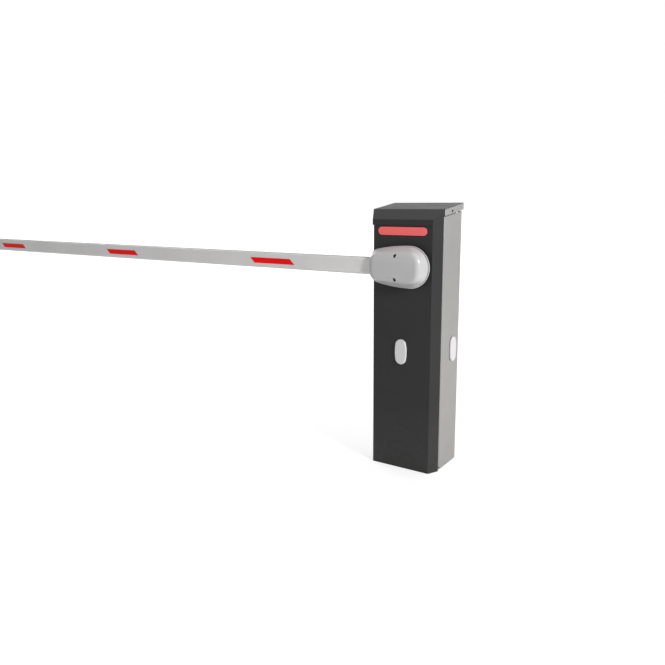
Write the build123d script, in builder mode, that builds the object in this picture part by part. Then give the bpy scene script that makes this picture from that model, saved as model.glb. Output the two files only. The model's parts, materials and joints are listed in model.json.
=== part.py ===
import os

from build123d import *

# Boom barrier: a slim sheet-metal cabinet bolted to its foundation, a hub on its front, and a 3 m boom.
# Millimetres. The origin is on the underside of the base plate, in the middle of the cabinet's plan.
# +X is to the right, -Y is the front, +Z is up. At rest the boom is closed and points along -X.

# Cabinet plan: a rectangle whose two front corners are cut by long, narrow facets
CABINET_WIDTH = 303.0
CABINET_DEPTH = 216.0
FACET_WIDTH = 22.5
FACET_DEPTH = 46.4
SHEET = 2.0
FOLD = 32.0

# Lid: a sloping front, then a roof that rises gently to the back, with a skirt all round
LID_OVERHANG = 5.0
LID_BACK_HEIGHT = 1084.0
ROOF_RISE = 22.4
SLOPE_RISE = 38.6
SKIRT_FRONT = 23.0
SKIRT_SIDE = 26.5
SKIRT_LAP = 12.0

# Base plate and its four anchor holes
BASE_PLATE = 8.0
ANCHOR_SPACING_X = 190.0
ANCHOR_SPACING_Y = 140.0
ANCHOR_HOLE = 14.0

# Service door in the right side, hung on two pivot pins behind its rolled front edge
DOOR_GAP = 5.0
DOOR_ROLL_RADIUS = 10.0
DOOR_RETURN = 18.0
DOOR_BOTTOM = 4.0
DOOR_CURL_NOTCH = 10.0
PIVOT_PIN = 8.0
PIVOT_CLEARANCE = 0.1
PIN_GAP = 1.0
PIN_REACH = 20.0
EAR_RADIUS = 6.5
BUSH_RADIUS = 7.7
BUSH_HEIGHT = 22.0
BUSH_TONGUE = 12.0
BRACKET_THICKNESS = 6.0
BRACKET_HALF_DEPTH = 11.0
BRACKET_NOSE = 9.0
BRACKET_TAB = 4.0
BRACKET_TAB_HEIGHT = 14.0
DOOR_BOTTOM_RETURN_START = 20.0

# Frame that the door closes over
FRAME_DEPTH = 16.0
FRAME_BAR = 22.0
FRAME_SILL = 34.0
FRAME_HEAD_DROP = 62.0

# Warning light across the top of the front panel
LIGHT_LENGTH = 213.0
LIGHT_HEIGHT = 32.0
LIGHT_BELOW_LID = 45.0
LIGHT_PROUD = 3.0
LIGHT_CLEARANCE = 0.4
LIGHT_FLANGE = 6.0
LIGHT_FLANGE_THICKNESS = 3.0
LIGHT_WALL = 2.5

# Oval covers, one on the front panel and one on the door
OVAL_WIDTH = 52.0
OVAL_HEIGHT = 103.0
OVAL_PROUD = 8.0
OVAL_EDGE = 2.5
OVAL_CENTRE_HEIGHT = 497.0
OVAL_DOOR_Y = 49.0
OVAL_WALL = 3.0
OVAL_SHOULDER = 30.0
OVAL_SIDE_BOW = 2.0

# Boom pivot, drive shaft and what carries it inside the cabinet
PIVOT_X = 50.0
PIVOT_BELOW_LIGHT = 136.0
SHAFT_DIAMETER = 30.0
SHAFT_CLEARANCE = 0.1
BEARING_BARREL = 60.0
BEARING_FLANGE = 104.0
BEARING_FLANGE_THICKNESS = 10.0
BEARING_PROUD = 4.0
PANEL_HOLE_CLEARANCE = 1.0
CARRIER_PLATE = 5.0
CARRIER_HEIGHT = 190.0
CARRIER_FLANGE = 34.0
BEARING_REAR = 22.0
COLLAR_DIAMETER = 52.0
COLLAR_WIDTH = 14.0
COLLAR_GAP = 1.0
SHAFT_TAIL = 6.0

# Hub on the boom: distances are measured from the front panel towards the viewer
HUB_BACK = 12.0
HUB_PARTING = 30.0
HUB_FRONT = 78.0
HUB_WALL = 3.0
HUB_RADIUS = 82.5
HUB_NOSE_X = -118.0
HUB_NOSE_HALF = 61.0
HUB_NOSE_BOW = 3.0
HUB_NOSE_CORNER = 26.0
HUB_BACK_INSET = 8.0
HUB_LIP = 4.5
HUB_LIP_THICKNESS = 4.0
HUB_GROOVE_WIDTH = 2.0
HUB_GROOVE_INSET = 7.0
HUB_BACK_HOLE = 64.0
HUB_REGISTER = 3.0
HUB_BACK_EDGE = 4.0
FACE_RIGHT_X = 103.0
FACE_RIGHT_HALF = 54.0
FACE_RIGHT_BOW = 4.0
FACE_LEFT_X = -103.0
FACE_LEFT_HALF = 50.0
FACE_LEFT_BOW = 2.0
FACE_CORNER = 30.0
FACE_CROWN_RADIUS = 420.0
FACE_EDGE = 11.0
ARM_WINDOW_CLEARANCE = 1.0
COVER_SCREW_X = 6.0
COVER_SCREW_RISE = 46.0
COVER_SCREW_RECESS = 11.0
COVER_SCREW_SEAT = 67.5

# Cast holder that clamps the arm to the shaft
HOLDER_PLATE = 8.0
HOLDER_BOSS = 58.0
HOLDER_BOSS_FRONT = 63.0
HOLDER_FLANGE = 6.0
HOLDER_LEFT_X = -98.0
HOLDER_HUB_RADIUS = 44.0
HOLDER_LUG = 13.0
HOLDER_LUG_FRONT = 65.0
SHAFT_FRONT = 60.0
CLAMP_PLATE = 6.0
CLAMP_LEFT_X = -92.0
CLAMP_RIGHT_X = -6.0

# Arm: an aluminium extrusion with a soft strip along its top and bottom edges
ARM_HEIGHT = 68.0
ARM_THICKNESS = 34.0
ARM_FACE = 57.0
ARM_WALL = 2.2
ARM_CORNER = 5.0
ARM_LENGTH_FROM_PIVOT = 3000.0
ARM_ROOT_GAP = 4.0
STRIP_PROUD = 2.5
STRIP_HEAD = 20.0
STRIP_GROOVE = 10.0
STRIP_GROOVE_DEPTH = 4.0
STRIP_CLEARANCE = 0.3
STRIP_EDGE_RADIUS = 1.5
TIP_CAP_THICKNESS = 12.0
TIP_CAP_SPIGOT = 30.0
TIP_CAP_FIT = 0.3

# Reflectors on both faces of the arm
REFLECTOR_LENGTH = 222.0
REFLECTOR_HEIGHT = 24.0
REFLECTOR_SLANT = 25.0
REFLECTOR_THICKNESS = 0.8
REFLECTOR_DROP = 2.5
REFLECTOR_FIRST = 661.0
REFLECTOR_COUNT = 3

# Levels and places that follow from the sizes above
HALF_WIDTH = CABINET_WIDTH / 2
HALF_DEPTH = CABINET_DEPTH / 2
FRONT_Y = -HALF_DEPTH
FACET_Y = FRONT_Y + FACET_DEPTH
FLAT_HALF = HALF_WIDTH - FACET_WIDTH
AXIS_X = HALF_WIDTH - DOOR_ROLL_RADIUS
AXIS_Y = FACET_Y + SHEET + DOOR_GAP + DOOR_ROLL_RADIUS
DOOR_RETURN_X = HALF_WIDTH - DOOR_RETURN
BACK_PANEL_RIGHT = DOOR_RETURN_X - DOOR_GAP
FRAME_RIGHT = AXIS_X - DOOR_ROLL_RADIUS - DOOR_GAP
FRAME_LEFT = FRAME_RIGHT - FRAME_DEPTH
LID_RIDGE_HEIGHT = LID_BACK_HEIGHT - ROOF_RISE
LID_FRONT_HEIGHT = LID_RIDGE_HEIGHT - SLOPE_RISE
LIGHT_CENTRE_HEIGHT = LID_FRONT_HEIGHT - LIGHT_BELOW_LID
PIVOT_HEIGHT = LIGHT_CENTRE_HEIGHT - PIVOT_BELOW_LIGHT
FRAME_HEAD_HEIGHT = LID_RIDGE_HEIGHT - FRAME_HEAD_DROP
LID_FRONT_Y = FRONT_Y - LID_OVERHANG
LID_BACK_Y = HALF_DEPTH + LID_OVERHANG
ARM_BACK = ARM_FACE - ARM_THICKNESS
HOLDER_BACK = ARM_BACK - HOLDER_PLATE
PROFILE_HEIGHT = ARM_HEIGHT - 2 * STRIP_PROUD
ARM_ROOT_X = PIVOT_X - HOLDER_BOSS / 2 - ARM_ROOT_GAP
ARM_TIP_X = PIVOT_X - ARM_LENGTH_FROM_PIVOT
PROFILE_TIP_X = ARM_TIP_X + TIP_CAP_THICKNESS
REFLECTOR_PITCH = ARM_LENGTH_FROM_PIVOT / REFLECTOR_COUNT
ARM_MIDDLE_Y = FRONT_Y - ARM_FACE + ARM_THICKNESS / 2
CARRIER_Y = FACET_Y + SHEET
REAR_BEARING_Y = CARRIER_Y + CARRIER_PLATE + BEARING_REAR
HOLDER_HALF = ARM_HEIGHT / 2 + HOLDER_FLANGE
FRAME_FRONT = FACET_Y + SHEET
FRAME_BACK = HALF_DEPTH - SHEET


# Plane parallel to the front panel at a distance in front of it, drawn with x to the right and y up
def in_front(distance, x=0.0, z=0.0):
    return Plane(origin=(x, FRONT_Y - distance, z), x_dir=(1, 0, 0), z_dir=(0, -1, 0))


# Plane at the shaft's height inside the cabinet, facing the back
def behind_panel(y, x=0.0):
    return Plane(origin=(x, y, PIVOT_HEIGHT), x_dir=(1, 0, 0), z_dir=(0, 1, 0))


# Plane across the cabinet's width at a given x, drawn with x to the back and y up
def across(x, y=0.0, z=0.0):
    return Plane(origin=(x, y, z), x_dir=(0, 1, 0), z_dir=(1, 0, 0))


# Height of the roof's outside over the cabinet's sides
def roof_height(y):
    share = (y - FACET_Y) / (LID_BACK_Y - FACET_Y)
    return LID_RIDGE_HEIGHT + share * (LID_BACK_HEIGHT - LID_RIDGE_HEIGHT)


# Outline of the cabinet's plan, grown or shrunk all round
def plan(grow):
    with BuildSketch() as outline:
        with BuildLine():
            Polyline(
                (-FLAT_HALF, FRONT_Y),
                (FLAT_HALF, FRONT_Y),
                (HALF_WIDTH, FACET_Y),
                (HALF_WIDTH, HALF_DEPTH),
                (-HALF_WIDTH, HALF_DEPTH),
                (-HALF_WIDTH, FACET_Y),
                close=True,
            )
        make_face()
        if grow:
            offset(amount=grow, kind=Kind.INTERSECTION)
    return outline.sketch


# Side profile of all that lies under the roof line when it is lowered at the front and at the sides
def under_roof(front_drop, side_drop):
    with BuildSketch(Plane.YZ) as side:
        with BuildLine():
            Polyline(
                (LID_FRONT_Y, -1),
                (LID_FRONT_Y, LID_FRONT_HEIGHT - front_drop),
                (FACET_Y, LID_RIDGE_HEIGHT - side_drop),
                (LID_BACK_Y, LID_BACK_HEIGHT - side_drop),
                (LID_BACK_Y, -1),
                close=True,
            )
        make_face()
    return side.sketch


# Rectangle in plan between two corners
def plan_box(x_low, x_high, y_low, y_high, z=0.0):
    with BuildSketch(Plane.XY.offset(z)) as box:
        with Locations(((x_low + x_high) / 2, (y_low + y_high) / 2)):
            Rectangle(x_high - x_low, y_high - y_low)
    return box.sketch


# Egg-shaped outline of the hub, shrunk all round
def hub_outline(distance, inset):
    radius = HUB_RADIUS - inset
    nose_x = HUB_NOSE_X + inset
    nose_half = HUB_NOSE_HALF - inset
    with BuildSketch(in_front(distance, 0, PIVOT_HEIGHT)) as outline:
        with BuildLine():
            CenterArc((PIVOT_X, 0), radius, -90, 55)
            CenterArc((PIVOT_X, 0), radius, -35, 70)
            CenterArc((PIVOT_X, 0), radius, 35, 55)
            TangentArc((PIVOT_X, radius), (nose_x, nose_half), tangent=(-1, 0))
            ThreePointArc((nose_x, nose_half), (nose_x - HUB_NOSE_BOW, 0), (nose_x, -nose_half))
            TangentArc((PIVOT_X, -radius), (nose_x, -nose_half), tangent=(-1, 0))
        make_face()
        fillet(outline.vertices().group_by(Axis.X)[0], radius=HUB_NOSE_CORNER - inset)
    return outline.sketch


# Outline of the hub's front face: a bowed four-sided shape with large corners
def face_outline(distance, inset):
    right = FACE_RIGHT_X - inset
    left = FACE_LEFT_X + inset
    right_half = FACE_RIGHT_HALF - inset
    left_half = FACE_LEFT_HALF - inset
    with BuildSketch(in_front(distance, 0, PIVOT_HEIGHT)) as outline:
        with BuildLine():
            ThreePointArc((right, -right_half), (right + FACE_RIGHT_BOW, 0), (right, right_half))
            Line((right, right_half), (left, left_half))
            ThreePointArc((left, left_half), (left - FACE_LEFT_BOW, 0), (left, -left_half))
            Line((left, -left_half), (right, -right_half))
        make_face()
        fillet(outline.vertices(), radius=FACE_CORNER - inset)
    return outline.sketch


# Big circle seen from the side, whose front is the crown of the hub's face
def face_crown(front, inset):
    radius = FACE_CROWN_RADIUS - inset
    with BuildSketch(Plane.YZ) as crown:
        with Locations((FRONT_Y - front + radius, PIVOT_HEIGHT)):
            Circle(radius)
    return crown.sketch


# Section of the arm, grown all round
def arm_section(x, height, grow):
    with BuildSketch(across(x, ARM_MIDDLE_Y, PIVOT_HEIGHT)) as section:
        RectangleRounded(ARM_THICKNESS + 2 * grow, height + 2 * grow, ARM_CORNER + grow)
    return section.sketch


# Flanks that run from the hub's outline to its front face, cut to the crown, with the face's edge eased
def hub_cap(start, front, inset):
    with BuildPart() as cap:
        add(hub_outline(start, HUB_LIP + inset))
        add(face_outline(front, inset))
        loft()
        extrude(face_crown(front, inset), amount=CABINET_WIDTH, both=True, mode=Mode.INTERSECT)
        crown = cap.faces().filter_by(GeomType.CYLINDER).sort_by(Axis.Y)[0]
        chamfer(crown.edges(), length=FACE_EDGE - inset)
    return cap.part


# Outline of an oval cover, shrunk all round
def oval(plane, inset):
    half = OVAL_WIDTH / 2 - inset
    top = OVAL_HEIGHT / 2 - inset
    shoulder = half - OVAL_SIDE_BOW
    with BuildSketch(plane) as outline:
        with BuildLine():
            ThreePointArc((-shoulder, -OVAL_SHOULDER), (-half, 0), (-shoulder, OVAL_SHOULDER))
            ThreePointArc((-shoulder, OVAL_SHOULDER), (0, top), (shoulder, OVAL_SHOULDER))
            ThreePointArc((shoulder, OVAL_SHOULDER), (half, 0), (shoulder, -OVAL_SHOULDER))
            ThreePointArc((shoulder, -OVAL_SHOULDER), (0, -top), (-shoulder, -OVAL_SHOULDER))
        make_face()
    return outline.sketch


# Opening of the door frame, grown all round
def frame_opening(grow):
    with BuildSketch(across(FRAME_LEFT)) as opening:
        with BuildLine():
            Polyline(
                (FRAME_FRONT + FRAME_BAR - grow, BASE_PLATE + FRAME_SILL - grow),
                (FRAME_BACK - FRAME_BAR + grow, BASE_PLATE + FRAME_SILL - grow),
                (FRAME_BACK - FRAME_BAR + grow, FRAME_HEAD_HEIGHT + grow),
                (FRAME_FRONT + FRAME_BAR - grow, FRAME_HEAD_HEIGHT + grow),
                close=True,
            )
        make_face()
    return opening.sketch


# Bush of the door, with a tongue against the inside of the leaf
def door_bush(bottom):
    with BuildPart() as bush:
        with BuildSketch(Plane.XY.offset(bottom)):
            with Locations((AXIS_X, AXIS_Y)):
                Circle(BUSH_RADIUS)
            add(plan_box(AXIS_X, HALF_WIDTH - SHEET, AXIS_Y, AXIS_Y + BUSH_TONGUE))
            with Locations((AXIS_X, AXIS_Y)):
                Circle(PIVOT_PIN / 2 + PIVOT_CLEARANCE, mode=Mode.SUBTRACT)
        extrude(amount=BUSH_HEIGHT)
    return bush.part


# Groove along the arm's top or bottom
def groove(x, level, half_width, depth):
    with BuildSketch(across(x, ARM_MIDDLE_Y, PIVOT_HEIGHT)) as slot:
        with Locations((0, level * (PROFILE_HEIGHT - depth) / 2)):
            Rectangle(2 * half_width, depth)
    return slot.sketch


# Hollow of the arm's section, with the walls of both grooves left standing in it
def arm_bore(x, shrink):
    with BuildSketch(across(x, ARM_MIDDLE_Y, PIVOT_HEIGHT)) as bore:
        RectangleRounded(
            ARM_THICKNESS - 2 * ARM_WALL - shrink,
            PROFILE_HEIGHT - 2 * ARM_WALL - shrink,
            ARM_CORNER - ARM_WALL,
        )
        for level in (-1, 1):
            depth = STRIP_GROOVE_DEPTH + ARM_WALL
            with Locations((0, level * (PROFILE_HEIGHT - depth) / 2)):
                Rectangle(STRIP_GROOVE + 2 * ARM_WALL, depth, mode=Mode.SUBTRACT)
    return bore.sketch


def save(part, name):
    part.label = name
    export_step(part, f"parts/{name}.step")


os.makedirs("parts", exist_ok=True)

# Window that the arm passes through at the hub's nose
with BuildPart() as arm_window:
    with BuildSketch(across(2 * HUB_NOSE_X, ARM_MIDDLE_Y, PIVOT_HEIGHT)):
        Rectangle(ARM_THICKNESS + 2 * ARM_WINDOW_CLEARANCE, ARM_HEIGHT + 2 * ARM_WINDOW_CLEARANCE)
    extrude(amount=-1.5 * HUB_NOSE_X)

# Base plate: steel, inside the cabinet's walls, with four anchor holes and an ear for the lower hinge pin
with BuildPart() as base_plate:
    extrude(plan(-SHEET), amount=BASE_PLATE)
    right_of_frame = plan_box(FRAME_RIGHT, CABINET_WIDTH, -CABINET_DEPTH, CABINET_DEPTH)
    extrude(right_of_frame, amount=BASE_PLATE, mode=Mode.SUBTRACT)
    extrude(plan_box(FRAME_RIGHT, AXIS_X, AXIS_Y - EAR_RADIUS, AXIS_Y + EAR_RADIUS), amount=BASE_PLATE)
    with BuildSketch():
        with Locations((AXIS_X, AXIS_Y)):
            Circle(EAR_RADIUS)
    extrude(amount=BASE_PLATE)
    with BuildSketch():
        with GridLocations(ANCHOR_SPACING_X, ANCHOR_SPACING_Y, 2, 2):
            Circle(ANCHOR_HOLE / 2)
        with Locations((AXIS_X, AXIS_Y)):
            Circle(PIVOT_PIN / 2)
    extrude(amount=BASE_PLATE, mode=Mode.SUBTRACT)
save(base_plate.part, "base_plate")

# Lower hinge pin: stands up out of the base plate's ear
with BuildPart() as hinge_pin_lower:
    with BuildSketch():
        with Locations((AXIS_X, AXIS_Y)):
            Circle(PIVOT_PIN / 2)
    extrude(amount=BASE_PLATE + PIN_GAP + PIN_REACH)
save(hinge_pin_lower.part, "hinge_pin_lower")

# Front panel: one sheet folded round the flat front and both facets, with a fold at each rear edge
with BuildPart() as front_panel:
    extrude(plan(0), amount=LID_BACK_HEIGHT)
    extrude(plan(-SHEET), amount=LID_BACK_HEIGHT, mode=Mode.SUBTRACT)
    behind = plan_box(-CABINET_WIDTH, CABINET_WIDTH, FACET_Y + SHEET, CABINET_DEPTH)
    extrude(behind, amount=LID_BACK_HEIGHT, mode=Mode.SUBTRACT)
    for x_low, x_high in ((-HALF_WIDTH, -HALF_WIDTH + FOLD), (HALF_WIDTH - FOLD, HALF_WIDTH)):
        fold = plan_box(x_low, x_high, FACET_Y, FACET_Y + SHEET, BASE_PLATE)
        extrude(fold, amount=LID_BACK_HEIGHT)
    below = under_roof(SKIRT_FRONT - SKIRT_LAP, SKIRT_SIDE - SKIRT_LAP)
    extrude(below, amount=CABINET_WIDTH, both=True, mode=Mode.INTERSECT)
    with BuildSketch(in_front(0, 0, LIGHT_CENTRE_HEIGHT)):
        SlotOverall(LIGHT_LENGTH + 2 * LIGHT_CLEARANCE, LIGHT_HEIGHT + 2 * LIGHT_CLEARANCE)
    extrude(amount=-SHEET, mode=Mode.SUBTRACT)
    with BuildSketch(in_front(0, PIVOT_X, PIVOT_HEIGHT)):
        Circle(BEARING_BARREL / 2 + PANEL_HOLE_CLEARANCE)
    extrude(amount=-SHEET, mode=Mode.SUBTRACT)
save(front_panel.part, "front_panel")

# Left panel: a flat sheet from the front panel's fold to the back panel
with BuildPart() as left_panel:
    left_strip = plan_box(-HALF_WIDTH, -HALF_WIDTH + SHEET, FACET_Y + SHEET, HALF_DEPTH - SHEET)
    extrude(left_strip, amount=LID_BACK_HEIGHT)
    extrude(under_roof(SHEET, SHEET), amount=CABINET_WIDTH, both=True, mode=Mode.INTERSECT)
save(left_panel.part, "left_panel")

# Back panel: a sheet that stops short of the door's rear return
with BuildPart() as back_panel:
    back_strip = plan_box(-HALF_WIDTH, BACK_PANEL_RIGHT, HALF_DEPTH - SHEET, HALF_DEPTH)
    extrude(back_strip, amount=LID_BACK_HEIGHT)
    extrude(under_roof(SHEET, SHEET), amount=CABINET_WIDTH, both=True, mode=Mode.INTERSECT)
save(back_panel.part, "back_panel")

# Door frame: a folded channel all round the door's opening, hollow towards the inside of the cabinet
with BuildPart() as door_frame:
    extrude(plan_box(FRAME_LEFT, FRAME_RIGHT, FRAME_FRONT, FRAME_BACK, BASE_PLATE), amount=LID_BACK_HEIGHT)
    extrude(under_roof(SHEET, SHEET), amount=CABINET_WIDTH, both=True, mode=Mode.INTERSECT)
    extrude(frame_opening(0), amount=FRAME_DEPTH, mode=Mode.SUBTRACT)
    with BuildSketch(across(FRAME_LEFT)):
        with BuildLine():
            Polyline(
                (FRAME_FRONT + SHEET, BASE_PLATE + SHEET),
                (FRAME_BACK - SHEET, BASE_PLATE + SHEET),
                (FRAME_BACK - SHEET, roof_height(FRAME_BACK) - 2 * SHEET),
                (FRAME_FRONT + SHEET, roof_height(FRAME_FRONT) - 2 * SHEET),
                close=True,
            )
        make_face()
        add(frame_opening(SHEET), mode=Mode.SUBTRACT)
    extrude(amount=FRAME_DEPTH - SHEET, mode=Mode.SUBTRACT)
save(door_frame.part, "door_frame")

# Upper hinge bracket: an angle on the door frame, inside the lid, with the upper pin pointing down
BRACKET_BOTTOM = roof_height(AXIS_Y) - SKIRT_SIDE
with BuildPart() as hinge_bracket_upper:
    arm_of_bracket = plan_box(
        FRAME_RIGHT,
        AXIS_X,
        AXIS_Y - BRACKET_HALF_DEPTH,
        AXIS_Y + BRACKET_HALF_DEPTH,
        BRACKET_BOTTOM,
    )
    extrude(arm_of_bracket, amount=BRACKET_THICKNESS)
    with BuildSketch(Plane.XY.offset(BRACKET_BOTTOM)):
        with Locations((AXIS_X, AXIS_Y)):
            Circle(BRACKET_NOSE)
    extrude(amount=BRACKET_THICKNESS)
    tab = plan_box(
        FRAME_RIGHT,
        FRAME_RIGHT + BRACKET_TAB,
        AXIS_Y - BRACKET_HALF_DEPTH,
        AXIS_Y + BRACKET_HALF_DEPTH,
        BRACKET_BOTTOM,
    )
    extrude(tab, amount=BRACKET_THICKNESS + BRACKET_TAB_HEIGHT)
    with BuildSketch(Plane.XY.offset(BRACKET_BOTTOM)):
        with Locations((AXIS_X, AXIS_Y)):
            Circle(PIVOT_PIN / 2)
    extrude(amount=BRACKET_THICKNESS, mode=Mode.SUBTRACT)
save(hinge_bracket_upper.part, "hinge_bracket_upper")

# Upper hinge pin
with BuildPart() as hinge_pin_upper:
    with BuildSketch(Plane.XY.offset(BRACKET_BOTTOM + BRACKET_THICKNESS)):
        with Locations((AXIS_X, AXIS_Y)):
            Circle(PIVOT_PIN / 2)
    extrude(amount=-(BRACKET_THICKNESS + DOOR_GAP + PIN_REACH))
save(hinge_pin_upper.part, "hinge_pin_upper")

# Lid cheeks: a light sheet under the roof's edge along both sides and the back
with BuildPart() as lid_cheeks:
    extrude(plan(LID_OVERHANG), amount=LID_BACK_HEIGHT)
    extrude(plan(LID_OVERHANG - SHEET), amount=LID_BACK_HEIGHT, mode=Mode.SUBTRACT)
    ahead = plan_box(-CABINET_WIDTH, CABINET_WIDTH, -CABINET_DEPTH, FACET_Y)
    extrude(ahead, amount=LID_BACK_HEIGHT, mode=Mode.SUBTRACT)
    extrude(under_roof(SHEET, SHEET), amount=CABINET_WIDTH, both=True, mode=Mode.INTERSECT)
    extrude(under_roof(SKIRT_FRONT, SKIRT_SIDE), amount=CABINET_WIDTH, both=True, mode=Mode.SUBTRACT)
save(lid_cheeks.part, "lid_cheeks")

# Lid top: the dark roof with its sloping front and its skirt round the front and the facets
with BuildPart() as lid_room:
    extrude(plan(LID_OVERHANG - SHEET), amount=LID_BACK_HEIGHT)
    extrude(under_roof(SHEET, SHEET), amount=CABINET_WIDTH, both=True, mode=Mode.INTERSECT)
with BuildPart() as lid_top:
    extrude(plan(LID_OVERHANG), amount=LID_BACK_HEIGHT)
    extrude(under_roof(0, 0), amount=CABINET_WIDTH, both=True, mode=Mode.INTERSECT)
    extrude(under_roof(SKIRT_FRONT, SKIRT_SIDE), amount=CABINET_WIDTH, both=True, mode=Mode.SUBTRACT)
    add(lid_room.part, mode=Mode.SUBTRACT)
    add(lid_cheeks.part, mode=Mode.SUBTRACT)
save(lid_top.part, "lid_top")

# Warning light: a hollow red lens with a flange that lies behind the front panel
with BuildPart() as light_lens:
    with BuildSketch(in_front(-SHEET, 0, LIGHT_CENTRE_HEIGHT)):
        SlotOverall(LIGHT_LENGTH, LIGHT_HEIGHT)
    extrude(amount=SHEET + LIGHT_PROUD)
    with BuildSketch(in_front(-SHEET, 0, LIGHT_CENTRE_HEIGHT)):
        SlotOverall(LIGHT_LENGTH + 2 * LIGHT_FLANGE, LIGHT_HEIGHT + 2 * LIGHT_FLANGE)
    extrude(amount=-LIGHT_FLANGE_THICKNESS)
    with BuildSketch(in_front(-SHEET - LIGHT_FLANGE_THICKNESS, 0, LIGHT_CENTRE_HEIGHT)):
        SlotOverall(LIGHT_LENGTH - 2 * LIGHT_WALL, LIGHT_HEIGHT - 2 * LIGHT_WALL)
    extrude(amount=SHEET + LIGHT_FLANGE_THICKNESS + LIGHT_PROUD - LIGHT_WALL, mode=Mode.SUBTRACT)
save(light_lens.part, "light_lens")

# Oval cover on the front panel, hollow behind
with BuildPart() as front_oval_cover:
    extrude(oval(in_front(0, 0, OVAL_CENTRE_HEIGHT), 0), amount=OVAL_PROUD)
    chamfer(front_oval_cover.edges().group_by(Axis.Y)[0], length=OVAL_EDGE)
    extrude(
        oval(in_front(0, 0, OVAL_CENTRE_HEIGHT), OVAL_WALL),
        amount=OVAL_PROUD - OVAL_WALL,
        mode=Mode.SUBTRACT,
    )
save(front_oval_cover.part, "front_oval_cover")

# Bearing carrier: a plate across the cabinet with stiffening folds along its top and bottom
with BuildPart() as shaft_carrier:
    with BuildSketch(behind_panel(CARRIER_Y)):
        with Locations(((FRAME_LEFT - HALF_WIDTH + SHEET) / 2, 0)):
            Rectangle(FRAME_LEFT + HALF_WIDTH - SHEET, CARRIER_HEIGHT)
    extrude(amount=CARRIER_FLANGE)
    with BuildSketch(behind_panel(CARRIER_Y + CARRIER_PLATE)):
        with Locations(((FRAME_LEFT - HALF_WIDTH + SHEET) / 2, 0)):
            Rectangle(CABINET_WIDTH, CARRIER_HEIGHT - 2 * CARRIER_PLATE)
    extrude(amount=CARRIER_FLANGE, mode=Mode.SUBTRACT)
    with BuildSketch(behind_panel(CARRIER_Y, PIVOT_X)):
        Circle(BEARING_BARREL / 2)
    extrude(amount=CARRIER_PLATE, mode=Mode.SUBTRACT)
save(shaft_carrier.part, "shaft_carrier")

# Bearing housing: a barrel through the front panel and the carrier, with a flange against the carrier
with BuildPart() as shaft_bearing:
    with BuildSketch(in_front(BEARING_PROUD, PIVOT_X, PIVOT_HEIGHT)):
        Circle(BEARING_BARREL / 2)
    extrude(amount=-(REAR_BEARING_Y - FRONT_Y + BEARING_PROUD))
    with BuildSketch(in_front(FRONT_Y - CARRIER_Y, PIVOT_X, PIVOT_HEIGHT)):
        Circle(BEARING_FLANGE / 2)
    extrude(amount=BEARING_FLANGE_THICKNESS)
    with BuildSketch(in_front(BEARING_PROUD, PIVOT_X, PIVOT_HEIGHT)):
        Circle(SHAFT_DIAMETER / 2 + SHAFT_CLEARANCE)
    extrude(amount=-(REAR_BEARING_Y - FRONT_Y + BEARING_PROUD), mode=Mode.SUBTRACT)
save(shaft_bearing.part, "shaft_bearing")

# Side door: a leaf with a rolled front edge, a rear return and a short bottom return
with BuildPart() as side_door:
    with BuildSketch(Plane.XY.offset(DOOR_BOTTOM)):
        add(plan_box(HALF_WIDTH - SHEET, HALF_WIDTH, AXIS_Y, HALF_DEPTH))
        add(plan_box(DOOR_RETURN_X, HALF_WIDTH, HALF_DEPTH - SHEET, HALF_DEPTH))
    extrude(amount=LID_BACK_HEIGHT)
    with BuildSketch(Plane.XY.offset(DOOR_BOTTOM + DOOR_CURL_NOTCH)):
        with Locations((AXIS_X, AXIS_Y)):
            Circle(DOOR_ROLL_RADIUS)
            Circle(DOOR_ROLL_RADIUS - SHEET, mode=Mode.SUBTRACT)
        add(
            plan_box(AXIS_X, HALF_WIDTH, AXIS_Y - DOOR_ROLL_RADIUS, AXIS_Y),
            mode=Mode.INTERSECT,
        )
    extrude(amount=LID_BACK_HEIGHT)
    foot = plan_box(DOOR_RETURN_X, HALF_WIDTH, AXIS_Y + DOOR_BOTTOM_RETURN_START, HALF_DEPTH, DOOR_BOTTOM)
    extrude(foot, amount=SHEET)
    below_skirt = under_roof(SKIRT_FRONT + DOOR_GAP, SKIRT_SIDE + DOOR_GAP)
    extrude(below_skirt, amount=CABINET_WIDTH, both=True, mode=Mode.INTERSECT)
save(side_door.part, "side_door")

# Oval cover on the door, hollow behind
with BuildPart() as door_oval_cover:
    door_plane = Plane(
        origin=(HALF_WIDTH, OVAL_DOOR_Y, OVAL_CENTRE_HEIGHT),
        x_dir=(0, 1, 0),
        z_dir=(1, 0, 0),
    )
    extrude(oval(door_plane, 0), amount=OVAL_PROUD)
    chamfer(door_oval_cover.edges().group_by(Axis.X)[-1], length=OVAL_EDGE)
    extrude(oval(door_plane, OVAL_WALL), amount=OVAL_PROUD - OVAL_WALL, mode=Mode.SUBTRACT)
save(door_oval_cover.part, "door_oval_cover")

# Door bushes: each has a tongue on the inside of the leaf and turns on a hinge pin
save(door_bush(BASE_PLATE + PIN_GAP), "door_bush_lower")
save(door_bush(BRACKET_BOTTOM - DOOR_GAP - BUSH_HEIGHT), "door_bush_upper")

# Drive shaft of the boom
with BuildPart() as drive_shaft:
    with BuildSketch(in_front(SHAFT_FRONT, PIVOT_X, PIVOT_HEIGHT)):
        Circle(SHAFT_DIAMETER / 2)
    extrude(amount=-(REAR_BEARING_Y - FRONT_Y + COLLAR_GAP + COLLAR_WIDTH + SHAFT_TAIL + SHAFT_FRONT))
save(drive_shaft.part, "drive_shaft")

# Collar that keeps the shaft in its bearing
with BuildPart() as shaft_collar:
    with BuildSketch(behind_panel(REAR_BEARING_Y + COLLAR_GAP, PIVOT_X)):
        Circle(COLLAR_DIAMETER / 2)
        Circle(SHAFT_DIAMETER / 2, mode=Mode.SUBTRACT)
    extrude(amount=COLLAR_WIDTH)
save(shaft_collar.part, "shaft_collar")

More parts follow.
